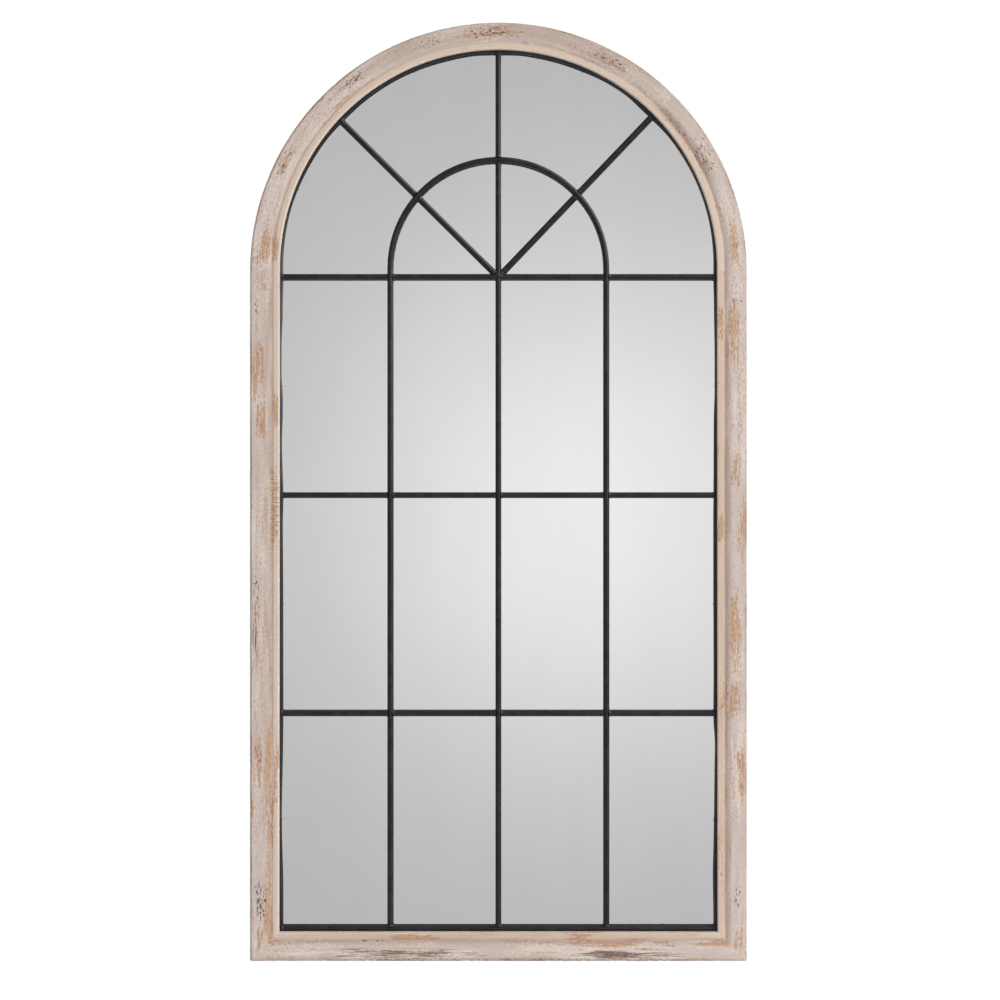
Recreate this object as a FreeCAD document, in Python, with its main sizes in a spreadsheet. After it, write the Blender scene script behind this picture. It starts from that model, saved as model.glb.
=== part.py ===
import FreeCAD, Part

import os

import Sketcher

# An arched window mirror that hangs on a wall: a limewashed wooden frame, a grille of black
# iron rods welded in front of one arched pane, a back board, and two swinging hanging rings.
# Row frame: X to the right, Z up, the front looks along -Y. The origin is the middle of the
# line on which the two raised hanging rings bear, in the plane of the wall.

doc = FreeCAD.newDocument("arched_window_mirror")

# ---------------------------------------------------------------- driving dimensions (mm)
SIZES = (
    ("overall_width", 794, "outside width of the frame"),
    ("overall_height", 1500, "underside of the bottom rail to the crown"),
    ("face_width", 46, "face of the stiles and of the bottom rail"),
    ("crown_face_width", 42, "face of the arch at its crown"),
    ("lip_depth", 11, "front of the frame to the floor of the rebate"),
    ("rebate_width", 9, "rebate behind the sight edge"),
    ("arris_round", 4, "rounding of the outer front edge"),
    ("roll_width", 24, "sight edge to where the face starts to roll over"),
    ("roll_drop", 4.9, "how far the face rolls down to the quirk"),
    ("quirk_offset", 11.6, "sight edge to the bottom of the quirk"),
    ("quirk_half_width", 1, "bottom of the quirk to its outer corner"),
    ("quirk_depth", 5.7, "front of the frame to the bottom of the quirk"),
    ("bead_width", 10, "sight edge to the outer corner of the bead"),
    ("bead_shoulder_depth", 3.3, "front of the frame to that corner"),
    ("bead_depth", 2.6, "front of the frame to the top of the bead"),
    ("bead_round", 2.5, "rounding of the sight edge"),
    ("tool_margin", 10, "how far a cutting tool reaches past the wood"),
    ("dowel_diameter", 8, "dowels in the joints of the frame"),
    ("dowel_length", 36, "dowels in the arch joints"),
    ("mitre_dowel_length", 24, "dowels across the two mitres"),
    ("dowel_depth", 15, "front of the frame to the dowel axes"),
    ("outer_dowel_inset", 10, "outside of the frame to the outer dowels"),
    ("dowel_spacing", 14, "between the two dowels of an arch joint"),
    ("mitre_dowel_inset", 17, "outer corner to the outer mitre dowel, along the rail"),
    ("mitre_dowel_spacing", 13, "between the two dowels of a mitre, along the rail"),
    ("rod_diameter", 9.5, "every iron rod of the grille"),
    ("hoop_tuck", 5.5, "how far the hoop reaches behind the sight edge"),
    ("foot_tuck", 2, "how far the foot rod reaches behind the sight edge"),
    ("leg_spacing", 347, "between the legs of the inner arch"),
    ("arch_rise", 2.5, "centre of the sight edge's arch to the centre of the inner arch"),
    ("transom_drop", 12, "centre of the sight edge's arch to the top transom"),
    ("root_gap", 0.2, "gap left for the weld at the end of a rod"),
    ("weld_reach", 2.5, "weld bead along the rod"),
    ("weld_throat", 0.7, "weld bead proud of the rod"),
    ("hub_weld_throat", 2.6, "weld proud of the rods where the spokes meet"),
    ("staple_wire", 1, "side of the square staple wire"),
    ("staple_leg", 20, "length of a staple"),
    ("staple_clearance", 0.2, "between a staple and the rod in it"),
    ("glass_gap", 1.5, "outline rods to the glass"),
    ("glass_thickness", 4, "mirror glass"),
    ("glass_overlap", 7, "glass behind the sight edge"),
    ("packing_thickness", 2, "sheet between the glass and the back board"),
    ("board_thickness", 3, "back board"),
    ("board_overlap", 27, "back board beyond the sight edge"),
    ("screw_line", 18, "sight edge to the back board screws and the hangers"),
    ("screw_shank", 3.5, "shank of a back board screw"),
    ("screw_head", 7, "head of a back board screw"),
    ("screw_length", 18, "back board screw"),
    ("rail_screw_spacing", 250, "between the screws along the bottom rail"),
    ("lowest_stile_screw", 150, "underside of the frame to the lowest stile screws"),
    ("stile_screw_drop", 203, "springing of the arch to the highest stile screws"),
    ("recess_width", 1.1, "slot of the cross recess in a screw head"),
    ("recess_span", 4.2, "length of the cross recess in a screw head"),
    ("recess_depth", 1, "depth of the cross recess in a screw head"),
    ("hanger_drop", 103, "springing of the arch to the hinges of the hanging rings"),
    ("strap_width", 14, "hanging strap"),
    ("strap_thickness", 1.2, "hanging strap and its rolled eye"),
    ("strap_end_margin", 6, "lower strap screw to the middle of the strap's round end"),
    ("strap_screw_spacing", 12, "between the two strap screws"),
    ("strap_screw_shank", 4, "shank of a strap screw"),
    ("strap_screw_head", 7, "pan head of a strap screw"),
    ("strap_screw_head_height", 2.2, "pan head of a strap screw"),
    ("strap_screw_length", 20, "strap screw under its head"),
    ("strap_screw_clearance", 3.5, "hanging ring to the head of the upper strap screw"),
    ("ring_wire", 3, "wire of a hanging ring"),
    ("hinge_clearance", 0.08, "ring wire to the rolled eye, on the radius"),
    ("ring_strap_gap", 0.4, "hanging ring to the strap that it lies on"),
    ("ring_side_gap", 3, "rolled eye to the side of the hanging ring"),
    ("ring_corner", 3, "bend of a hanging ring beside its hinge"),
    ("ring_limb", 3, "straight side of a hanging ring"),
    ("wall_clearance", 1.12, "rolled eye to the wall"),
    ("pad_diameter", 16, "wall pad"),
    ("pad_line", 12, "sight edge to the middle of a wall pad"),
    ("pad_height", 42, "underside of the frame to the middle of the lower wall pads"),
)
ARCH_SEGMENTS = 4
BAYS = 3                                 # rows of panes under the top transom
STILE_SCREWS = 4                         # back board screws up each stile
ARCH_SCREW_ANGLES = (20, 65, 115, 160)   # degrees round the arch from the right
ARCH_STAPLE_ANGLES = (22, 67, 113, 158)
SPOKE_ANGLES = (("left", 135.2), ("right", 46.3))        # bent by hand, so not quite alike
PAD_ANGLES = (35, 145)                   # upper wall pads

sheet = doc.addObject("Spreadsheet::Sheet", "Sizes")
for row, (alias, value, meaning) in enumerate(SIZES, start=1):
    sheet.set(f"A{row}", alias)
    sheet.set(f"B{row}", str(value))
    sheet.set(f"C{row}", meaning)
    sheet.setAlias(f"B{row}", alias)
doc.recompute()

# ------------------------------------------------- lengths worked out from the driving ones
# Each is an expression over the sheet. Heights count up from the underside of the frame and
# depths back from its front face; place() carries both into the row frame.
HALF_WIDTH = "(Sizes.overall_width / 2)"
SPRINGING = f"(Sizes.overall_height - {HALF_WIDTH})"
SIGHT_HALF = f"({HALF_WIDTH} - Sizes.face_width)"
SIGHT_CENTRE = f"({SPRINGING} + Sizes.face_width - Sizes.crown_face_width)"
ROD = "(Sizes.rod_diameter / 2)"
ROD_DEPTH = f"(Sizes.lip_depth + {ROD})"
HOOP_HALF = f"({SIGHT_HALF} + Sizes.hoop_tuck - {ROD})"
HOOP_FOOT = f"(Sizes.face_width - Sizes.foot_tuck + {ROD})"
LEG = "(Sizes.leg_spacing / 2)"
ARCH_CENTRE = f"({SIGHT_CENTRE} + Sizes.arch_rise)"      # of the inner arch
TOP_TRANSOM = f"({SIGHT_CENTRE} - Sizes.transom_drop)"
BAY_HEIGHT = f"(({TOP_TRANSOM} - {HOOP_FOOT} + {ROD}) / {BAYS})"
GLASS_DEPTH = "(Sizes.lip_depth + Sizes.rod_diameter + Sizes.glass_gap)"
PACKING_DEPTH = f"({GLASS_DEPTH} + Sizes.glass_thickness)"
FRAME_DEPTH = f"({PACKING_DEPTH} + Sizes.packing_thickness)"
BOARD_BACK = f"({FRAME_DEPTH} + Sizes.board_thickness)"
SCREW_HALF = f"({SIGHT_HALF} + Sizes.screw_line)"
PAD_HALF = f"({SIGHT_HALF} + Sizes.pad_line)"
WIRE = "(Sizes.ring_wire / 2)"
EYE = f"({WIRE} + Sizes.hinge_clearance)"
HINGE_DEPTH = f"({BOARD_BACK} + Sizes.strap_thickness + Sizes.ring_strap_gap + {WIRE})"
HINGE_HEIGHT = f"({SPRINGING} - Sizes.hanger_drop)"
RING_BOW = "(Sizes.strap_width / 2 + Sizes.ring_side_gap)"       # inside radius of the bow
RING_REACH = f"(Sizes.ring_corner + Sizes.ring_limb + {RING_BOW})"   # hinge to inside of bow
UPPER_STRAP_SCREW = (f"({RING_REACH} + Sizes.ring_wire + Sizes.strap_screw_clearance"
                     " + Sizes.strap_screw_head / 2)")
STRAP_LENGTH = f"({UPPER_STRAP_SCREW} + Sizes.strap_screw_spacing + Sizes.strap_end_margin)"
WALL_DEPTH = f"({HINGE_DEPTH} + {EYE} + Sizes.strap_thickness + Sizes.wall_clearance)"
BEARING_HEIGHT = f"({HINGE_HEIGHT} + {RING_REACH})"

UPRIGHT = FreeCAD.Rotation()
TO_BACK = FreeCAD.Rotation(FreeCAD.Vector(1, 0, 0), -90)     # local Z points to the back
TO_FRONT = FreeCAD.Rotation(FreeCAD.Vector(1, 0, 0), 90)     # local Z points to the front


def leaning(degrees):
    """Turns local Z to that angle in the plane of the mirror, from the right (0) to up (90)."""
    return FreeCAD.Rotation(FreeCAD.Vector(0, 1, 0), 90 - degrees)


def facing_arc(from_degrees):
    """Turns a torus to face the front, its arc starting at that angle from the right."""
    return TO_FRONT.multiply(FreeCAD.Rotation(FreeCAD.Vector(0, 0, 1), from_degrees))


TO_RIGHT = leaning(0)
TO_LEFT = leaning(180)
DOWN = leaning(270)


def place(thing, across, depth, height, turn=UPRIGHT):
    """Puts a piece at a point given by three expressions, turned."""
    thing.Placement = FreeCAD.Placement(FreeCAD.Vector(), turn)
    thing.setExpression("Placement.Base.x", f"{across}")
    thing.setExpression("Placement.Base.y", f"{depth} - {WALL_DEPTH}")
    thing.setExpression("Placement.Base.z", f"{height} - {BEARING_HEIGHT}")
    return thing


def solid(kind, name, **lengths):
    """A primitive whose properties follow expressions."""
    thing = doc.addObject(f"Part::{kind}", name)
    for prop, expression in lengths.items():
        thing.setExpression(prop, expression)
    return thing


def torus(name, bend, wire, sweep):
    """A bent rod: that bend and rod radius, swept over that many degrees."""
    thing = solid("Torus", name, Radius1=bend, Radius2=wire)
    thing.Angle3 = sweep
    return thing


def joined(name, pieces):
    """Several shapes fused into one."""
    thing = doc.addObject("Part::MultiFuse", name)
    thing.Shapes = pieces
    return thing


def together(name, pieces):
    """Several separate solids under one name."""
    thing = doc.addObject("Part::Compound", name)
    thing.Links = pieces
    return thing


def cut(name, base, tool):
    """The first shape less the second."""
    thing = doc.addObject("Part::Cut", name)
    thing.Base = base
    thing.Tool = tool
    return thing


nodes = {}


def node(label, thing):
    """Marks an object as one sub-part, under its own label."""
    thing.Label = label
    nodes[label] = thing
    return thing


def number(expression):
    """The present value of an expression."""
    return float(sheet.evalExpression(expression))


# ------------------------------------------------------------------------ sketch helpers
def new_sketch(body, name, role, up=None):
    """A sketch on one of the body's own origin planes, its origin raised by an expression."""
    sketch = body.newObject("Sketcher::SketchObject", name)
    plane = next(f for f in body.Origin.OriginFeatures if f.Role == role)
    sketch.AttachmentSupport = [(plane, "")]
    sketch.MapMode = "FlatFace"
    if up:
        sketch.setExpression("AttachmentOffset.Base.y", up)
    return sketch


def arc_between(start, end, radius, turning):
    """The short arc from start to end; turning is 1 anticlockwise and -1 clockwise."""
    first, last = (start, end) if turning > 0 else (end, start)
    middle = (first + last) / 2
    half_chord = (last - first) / 2
    rise = max(radius ** 2 - half_chord.Length ** 2, 0) ** 0.5
    to_centre = FreeCAD.Vector(-half_chord.y, half_chord.x, 0).normalize()
    return Part.ArcOfCircle(first, middle - to_centre * (radius - rise), last)


def closed_outline(sketch, corners):
    """Draws a closed outline and ties every corner and radius to its expressions.

    A corner is (x, y) where a straight line leaves it, or (x, y, radius, turning) where an
    arc does.
    """
    points = [FreeCAD.Vector(number(c[0]), number(c[1]), 0) for c in corners]
    ends = []
    for i, corner in enumerate(corners):
        start, end = points[i], points[(i + 1) % len(points)]
        if len(corner) == 2:
            ends.append((sketch.addGeometry(Part.LineSegment(start, end)), 1, 2))
            continue
        radius, turning = corner[2:]
        arc = sketch.addGeometry(arc_between(start, end, number(radius), turning))
        ends.append((arc, 1, 2) if turning > 0 else (arc, 2, 1))
        bound = sketch.addConstraint(Sketcher.Constraint("Radius", arc, number(radius)))
        sketch.setExpression(f"Constraints[{bound}]", radius)
    for i, corner in enumerate(corners):
        edge, edge_start, _ = ends[i]
        before, _, before_end = ends[i - 1]
        sketch.addConstraint(
            Sketcher.Constraint("Coincident", before, before_end, edge, edge_start))
        for direction, expression in (("DistanceX", corner[0]), ("DistanceY", corner[1])):
            bound = sketch.addConstraint(Sketcher.Constraint(
                direction, -1, 1, edge, edge_start, number(expression)))
            sketch.setExpression(f"Constraints[{bound}]", expression)


# ------------------------------------------------------------- wooden frame: the moulding
ROLL_RUN = "(Sizes.roll_width - Sizes.quirk_offset - Sizes.quirk_half_width)"
ROLL_RADIUS = f"(({ROLL_RUN} ^ 2 + Sizes.roll_drop ^ 2) / (2 * Sizes.roll_drop))"
IN_FRONT = "(-Sizes.tool_margin)"
BEHIND = f"({FRAME_DEPTH} + Sizes.tool_margin)"
WELL_INSIDE = "(-2 * Sizes.tool_margin)"


def moulding_void(spot, turning):
    """The space inside and behind the moulding, as an outline across it.

    spot(out, deep) gives the sketch point that lies that far outside the sight edge and that
    far behind the front. In order: roll-over, quirk, bead, sight edge, lip, rebate.
    """
    return (
        spot("Sizes.roll_width", IN_FRONT),
        spot("Sizes.roll_width", "0") + (ROLL_RADIUS, turning),
        spot("(Sizes.quirk_offset + Sizes.quirk_half_width)", "Sizes.roll_drop"),
        spot("Sizes.quirk_offset", "Sizes.quirk_depth"),
        spot("Sizes.bead_width", "Sizes.bead_shoulder_depth"),
        spot("Sizes.bead_round", "Sizes.bead_depth") + ("Sizes.bead_round", turning),
        spot("0", "(Sizes.bead_depth + Sizes.bead_round)"),
        spot("0", "Sizes.lip_depth"),
        spot("Sizes.rebate_width", "Sizes.lip_depth"),
        spot("Sizes.rebate_width", BEHIND),
        spot(WELL_INSIDE, BEHIND),
        spot(WELL_INSIDE, IN_FRONT),
    )


def outer_front_edges(shape):
    """Names of the edges where a member's front meets the outside of the frame."""
    half = number(HALF_WIDTH)
    springing = number(SPRINGING)
    names = []
    for index, edge in enumerate(shape.Edges, start=1):
        box = edge.BoundBox
        if max(abs(box.YMin), abs(box.YMax)) > 1e-6:
            continue
        on_foot = max(abs(box.ZMin), abs(box.ZMax)) < 1e-6
        on_side = box.XLength < 1e-6 and abs(abs(box.Center.x) - half) < 1e-6
        on_arch = (isinstance(edge.Curve, Part.Circle)
                   and abs(edge.Curve.Radius - half) < 1e-6
                   and abs(edge.Curve.Center.z - springing) < 1e-6)
        if on_foot or on_side or on_arch:
            names.append(f"Edge{index}")
    return names


def blank(label, corners):
    """A member sawn to its outline, seen from the front, with its outer front edge rounded."""
    body = doc.addObject("PartDesign::Body", f"{label}_blank")
    place(body, "0", "0", "0")
    face = new_sketch(body, f"{label}_face", "XZ_Plane")
    closed_outline(face, corners)
    pad = body.newObject("PartDesign::Pad", f"{label}_thickness")
    pad.Profile = face
    pad.setExpression("Length", FRAME_DEPTH)
    pad.Reversed = True
    doc.recompute()
    arris = body.newObject("PartDesign::Fillet", f"{label}_arris")
    arris.Base = (pad, outer_front_edges(pad.Shape))
    arris.setExpression("Radius", "Sizes.arris_round")
    return body


def run_moulding(body, label, role, spot, turning):
    """Cuts the moulding and the rebate along a straight member."""
    section = new_sketch(body, f"{label}_section", role)
    closed_outline(section, moulding_void(spot, turning))
    pocket = body.newObject("PartDesign::Pocket", f"{label}_moulding")
    pocket.Profile = section
    pocket.Type = "ThroughAll"
    pocket.SideType = "Symmetric"


members = {}

# bottom rail, mitred at both ends
rail = blank("bottom_rail", (
    (f"-{HALF_WIDTH}", "0"), (HALF_WIDTH, "0"),
    (SIGHT_HALF, "Sizes.face_width"), (f"-{SIGHT_HALF}", "Sizes.face_width")))
run_moulding(rail, "bottom_rail", "YZ_Plane",
             lambda out, deep: (deep, f"(Sizes.face_width - ({out}))"), 1)
members["bottom_rail"] = rail

# stiles, mitred at the foot and square at the springing
for side, sign, turning in (("left", "-", -1), ("right", "", 1)):
    label = f"{side}_stile"
    stile = blank(label, (
        (f"{sign}{HALF_WIDTH}", "0"), (f"{sign}{HALF_WIDTH}", SPRINGING),
        (f"{sign}{SIGHT_HALF}", SPRINGING), (f"{sign}{SIGHT_HALF}", "Sizes.face_width")))
    run_moulding(stile, label, "XY_Plane",
                 lambda out, deep, sign=sign: (f"{sign}({SIGHT_HALF} + ({out}))", deep), turning)
    members[label] = stile

# four sawn segments of the arch, jointed on radii of the outer curve; the sight edge has its
# own centre, a little higher, so that the face narrows towards the crown
BLANK_INSIDE = f"({SIGHT_HALF} - Sizes.tool_margin)"
JOINT_STEP = 180 / ARCH_SEGMENTS


def on_arch(radius, degrees):
    """The point of the arch at that radius and angle about the outer curve's centre."""
    return f"({radius} * cos({degrees}))", f"({SPRINGING} + {radius} * sin({degrees}))"


for index, label in enumerate(
        ("arch_right_lower", "arch_right_upper", "arch_left_upper", "arch_left_lower")):
    start, end = index * JOINT_STEP, (index + 1) * JOINT_STEP
    segment = blank(label, (
        on_arch(BLANK_INSIDE, start),
        on_arch(HALF_WIDTH, start) + (HALF_WIDTH, 1),
        on_arch(HALF_WIDTH, end),
        on_arch(BLANK_INSIDE, end) + (BLANK_INSIDE, -1)))
    section = new_sketch(segment, f"{label}_section", "YZ_Plane", SIGHT_CENTRE)
    closed_outline(section, moulding_void(
        lambda out, deep: (deep, f"({SIGHT_HALF} + ({out}))"), -1))
    groove = segment.newObject("PartDesign::Groove", f"{label}_moulding")
    groove.Profile = section
    groove.ReferenceAxis = (section, ["H_Axis"])
    groove.Angle = 360
    members[label] = segment

# ------------------------------------------------------------------ dowels in the joints
dowels = []


def dowel(across, height, degrees, length):
    """One dowel, centred on a point of the frame and pointing that way in its plane."""
    pin = solid("Cylinder", "dowel", Radius="Sizes.dowel_diameter / 2", Height=length)
    dowels.append(place(pin, f"{across} - {length} / 2 * cos({degrees})", "Sizes.dowel_depth",
                        f"{height} - {length} / 2 * sin({degrees})", leaning(degrees)))


for index in range(ARCH_SEGMENTS + 1):
    joint = index * JOINT_STEP
    for inset in ("Sizes.outer_dowel_inset", "(Sizes.outer_dowel_inset + Sizes.dowel_spacing)"):
        across, height = on_arch(f"({HALF_WIDTH} - {inset})", joint)
        dowel(across, height, joint + 90, "Sizes.dowel_length")
for sign, degrees in (("-", 135), ("", 45)):
    for inset in ("Sizes.mitre_dowel_inset",
                  "(Sizes.mitre_dowel_inset + Sizes.mitre_dowel_spacing)"):
        dowel(f"{sign}({HALF_WIDTH} - {inset})", inset, degrees, "Sizes.mitre_dowel_length")
node("joint_dowels", together("dowels", dowels))

# ------------------------------------------------------------------------ iron grille
welds = []


def weld(across, height, degrees):
    """A weld bead round the end of a rod: a cone from just past the end along the rod."""
    bead = solid("Cone", "weld_bead", Radius1=f"{ROD} + Sizes.weld_throat",
                 Radius2=f"{ROD} + Sizes.weld_throat / 5", Height="Sizes.weld_reach")
    past = "Sizes.weld_throat"
    welds.append(place(bead, f"{across} - {past} * cos({degrees})", ROD_DEPTH,
                       f"{height} - {past} * sin({degrees})", leaning(degrees)))


def arched_rod(label, half, centre, foot):
    """A rod bent into an arch about a centre at a height, its legs down to another height."""
    bent = [place(torus(f"{label}_bow", half, ROD, 180), "0", ROD_DEPTH, centre, facing_arc(0))]
    for sign in ("-", ""):
        leg = solid("Cylinder", f"{label}_leg", Radius=ROD, Height=f"{centre} - {foot}")
        bent.append(place(leg, f"{sign}{half}", ROD_DEPTH, foot))
    return node(label, joined(f"{label}_rod", bent))


def straight_rod(label, across, height, length, degrees):
    """A rod with flat ends, from a point of the grille in that direction, welded at both."""
    rod = solid("Cylinder", f"{label}_rod", Radius=ROD, Height=length)
    weld(across, height, degrees)
    weld(f"({across} + {length} * cos({degrees}))", f"({height} + {length} * sin({degrees}))",
         degrees + 180)
    return node(label, place(rod, across, ROD_DEPTH, height, leaning(degrees)))


# the outline: a hoop with straight sides, and a rod across its feet
arched_rod("grille_hoop", HOOP_HALF, SIGHT_CENTRE, f"({HOOP_FOOT} - {ROD})")
FOOT_START = f"(-{HOOP_HALF} + {ROD} + Sizes.root_gap)"
straight_rod("grille_foot", FOOT_START, HOOP_FOOT, f"(-2 * {FOOT_START})", 0)

# the inner arch and the centre bar stand on that rod
LEG_FOOT = f"({HOOP_FOOT} + {ROD} + Sizes.root_gap)"
arched_rod("grille_arch", LEG, ARCH_CENTRE, LEG_FOOT)
for across in (f"-{LEG}", LEG):
    weld(across, LEG_FOOT, 90)
INNER_CROWN = f"({ARCH_CENTRE} + {LEG})"
CENTRE_BAR_LENGTH = f"({INNER_CROWN} - {ROD} - Sizes.root_gap - {LEG_FOOT})"
straight_rod("centre_bar", "0", LEG_FOOT, CENTRE_BAR_LENGTH, 90)

# each transom is four lengths between the uprights
BAY_ENDS = (
    ("left_outer", f"-({HOOP_HALF} - {ROD})", f"-({LEG} + {ROD})"),
    ("left_inner", f"-({LEG} - {ROD})", f"-{ROD}"),
    ("right_inner", ROD, f"({LEG} - {ROD})"),
    ("right_outer", f"({LEG} + {ROD})", f"({HOOP_HALF} - {ROD})"),
)
for below, level in enumerate(("top", "middle", "bottom")):
    for bay, near, far in BAY_ENDS:
        straight_rod(f"transom_{level}_{bay}", f"({near} + Sizes.root_gap)",
                     f"({TOP_TRANSOM} - {below} * {BAY_HEIGHT})",
                     f"({far} - ({near}) - 2 * Sizes.root_gap)", 0)

# spokes of the fanlight: up the middle, and on both diagonals from the top transom's middle
OUTER_START = f"({INNER_CROWN} + {ROD} + Sizes.root_gap)"
OUTER_LENGTH = f"({SIGHT_CENTRE} + {HOOP_HALF} - {ROD} - Sizes.root_gap - {OUTER_START})"
straight_rod("spoke_centre", "0", OUTER_START, OUTER_LENGTH, 90)


def along_diagonal(degrees, radius, centre):
    """How far up a diagonal it crosses a circle of that radius about a centre at a height."""
    drop = f"({centre} - {TOP_TRANSOM})"
    return (f"({drop} * sin({degrees})"
            f" + sqrt(({radius}) ^ 2 - ({drop} * cos({degrees})) ^ 2))")


def diagonal_rod(label, start, end, degrees):
    """A stretch of a diagonal, between two distances from the top transom's middle."""
    return straight_rod(label, f"({start} * cos({degrees}))",
                        f"({TOP_TRANSOM} + {start} * sin({degrees}))", f"({end} - {start})",
                        degrees)


hub_rods = together("hub_rods", [nodes["centre_bar"], nodes["transom_top_left_inner"],
                                 nodes["transom_top_right_inner"]])
HUB_WELD = f"({ROD} + Sizes.hub_weld_throat)"            # its radius in the grille's plane
END_GAP = "(2 * Sizes.root_gap)"         # a diagonal meets the arches slightly askew
for side, degrees in SPOKE_ANGLES:
    label = f"spoke_{side}_inner"
    to_arch = along_diagonal(degrees, f"{LEG} - {ROD}", ARCH_CENTRE)
    past_arch = along_diagonal(degrees, f"{LEG} + {ROD}", ARCH_CENTRE)
    to_hoop = along_diagonal(degrees, f"{HOOP_HALF} - {ROD}", SIGHT_CENTRE)
    inner = diagonal_rod(label, f"({HUB_WELD} + 1)", f"({to_arch} - {END_GAP})", degrees)
    inner.Label = f"{label}_uncut"
    node(label, cut(f"{label}_end", inner, hub_rods))
    diagonal_rod(f"spoke_{side}_outer", f"({past_arch} + {END_GAP})",
                 f"({to_hoop} - {END_GAP})", degrees)

hub_weld = solid("Ellipsoid", "hub_weld", Radius1=f"({ROD} + Sizes.weld_throat)",
                 Radius2=HUB_WELD, Radius3=HUB_WELD)
welds.append(place(hub_weld, "0", ROD_DEPTH, f"({TOP_TRANSOM} + {ROD} / 2)", TO_BACK))
rods = together("rods", [rod for label, rod in nodes.items() if label != "joint_dowels"])
node("weld_beads", cut("weld_metal", joined("weld_stock", welds), rods))

# ------------------------------ staples that hold the outline rods to the lip of the frame
STAPLE_INSIDE = f"({ROD} + Sizes.staple_clearance)"
STAPLE_OUTSIDE = f"({STAPLE_INSIDE} + Sizes.staple_wire)"
staples = []


def staple(across, height, degrees):
    """A staple over the rod at that point, driven outwards at that angle."""
    parts = []
    for name, front, thickness, length in (
            ("crown", f"-{STAPLE_OUTSIDE}", f"2 * {STAPLE_OUTSIDE}", "Sizes.staple_wire"),
            ("front_leg", f"-{STAPLE_OUTSIDE}", "Sizes.staple_wire", "Sizes.staple_leg"),
            ("rear_leg", STAPLE_INSIDE, "Sizes.staple_wire", "Sizes.staple_leg")):
        bar = solid("Box", f"staple_{name}", Length="Sizes.staple_wire", Width=thickness,
                    Height=length)
        half_wire = "(Sizes.staple_wire / 2)"
        parts.append(place(
            bar,
            f"{across} - {STAPLE_OUTSIDE} * cos({degrees}) - {half_wire} * sin({degrees})",
            f"{ROD_DEPTH} + {front}",
            f"{height} - {STAPLE_OUTSIDE} * sin({degrees}) + {half_wire} * cos({degrees})",
            leaning(degrees)))
    staples.append(joined("staple", parts))


for bay in range(BAYS):
    middle = f"({TOP_TRANSOM} - ({bay} + 0.5) * {BAY_HEIGHT})"
    staple(f"-{HOOP_HALF}", middle, 180)
    staple(HOOP_HALF, middle, 0)
for degrees in ARCH_STAPLE_ANGLES:
    staple(f"{HOOP_HALF} * cos({degrees})", f"({SIGHT_CENTRE} + {HOOP_HALF} * sin({degrees}))",
           degrees)
for sign in ("-", ""):
    staple(f"{sign}({LEG} + {HOOP_HALF}) / 2", HOOP_FOOT, 270)
node("ring_staples", together("staples", staples))


# --------------------------------------------------- glass, packing and back board
def arched_sheet(label, overlap, depth, thickness):
    """A flat sheet with a round top, larger than the sight opening by an overlap."""
    body = doc.addObject("PartDesign::Body", f"{label}_body")
    place(body, "0", depth, "0")
    half = f"({SIGHT_HALF} + {overlap})"
    foot = f"(Sizes.face_width - {overlap})"
    face = new_sketch(body, f"{label}_outline", "XZ_Plane")
    closed_outline(face, (
        (f"-{half}", foot), (half, foot), (half, SIGHT_CENTRE) + (half, 1),
        ("0", f"({SIGHT_CENTRE} + {half})") + (half, 1), (f"-{half}", SIGHT_CENTRE)))
    pad = body.newObject("PartDesign::Pad", f"{label}_thickness")
    pad.Profile = face
    pad.setExpression("Length", thickness)
    pad.Reversed = True
    return body


node("mirror_glass", arched_sheet("glass", "Sizes.glass_overlap", GLASS_DEPTH,
                                  "Sizes.glass_thickness"))
node("packing_sheet", arched_sheet("packing", "Sizes.glass_overlap", PACKING_DEPTH,
                                   "Sizes.packing_thickness"))
board = arched_sheet("board", "Sizes.board_overlap", FRAME_DEPTH, "Sizes.board_thickness")

# --------------------------------------------------------------------------- screws
screw_stocks = []


def cross_recessed(across, height, head_top, head, shank):
    """A screw made of its head and shank, with a cross recess in the head's top."""
    stock = joined("screw_stock", [head, shank])
    screw_stocks.append(stock)
    slots = []
    for wide, tall in (("Sizes.recess_span", "Sizes.recess_width"),
                       ("Sizes.recess_width", "Sizes.recess_span")):
        slot = solid("Box", "recess", Length=wide, Width="Sizes.recess_depth", Height=tall)
        slots.append(place(slot, f"{across} - {wide} / 2",
                           f"{head_top} - Sizes.recess_depth", f"{height} - {tall} / 2"))
    return cut("screw", stock, joined("recesses", slots))


def board_screw(across, height):
    """A countersunk screw, flush with the back board."""
    head = solid("Cone", "sunk_head", Radius1="Sizes.screw_head / 2",
                 Radius2="Sizes.screw_shank / 2",
                 Height="(Sizes.screw_head - Sizes.screw_shank) / 2")
    shank = solid("Cylinder", "shank", Radius="Sizes.screw_shank / 2",
                  Height="Sizes.screw_length")
    for part in (head, shank):
        place(part, across, BOARD_BACK, height, TO_FRONT)
    return cross_recessed(across, height, BOARD_BACK, head, shank)


def strap_screw(across, height):
    """A pan-head screw through a hanging strap."""
    seat = f"({BOARD_BACK} + Sizes.strap_thickness)"
    head = solid("Cylinder", "pan_head", Radius="Sizes.strap_screw_head / 2",
                 Height="Sizes.strap_screw_head_height")
    place(head, across, seat, height, TO_BACK)
    shank = solid("Cylinder", "shank", Radius="Sizes.strap_screw_shank / 2",
                  Height="Sizes.strap_screw_length")
    place(shank, across, seat, height, TO_FRONT)
    return cross_recessed(across, height, f"({seat} + Sizes.strap_screw_head_height)",
                          head, shank)


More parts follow.
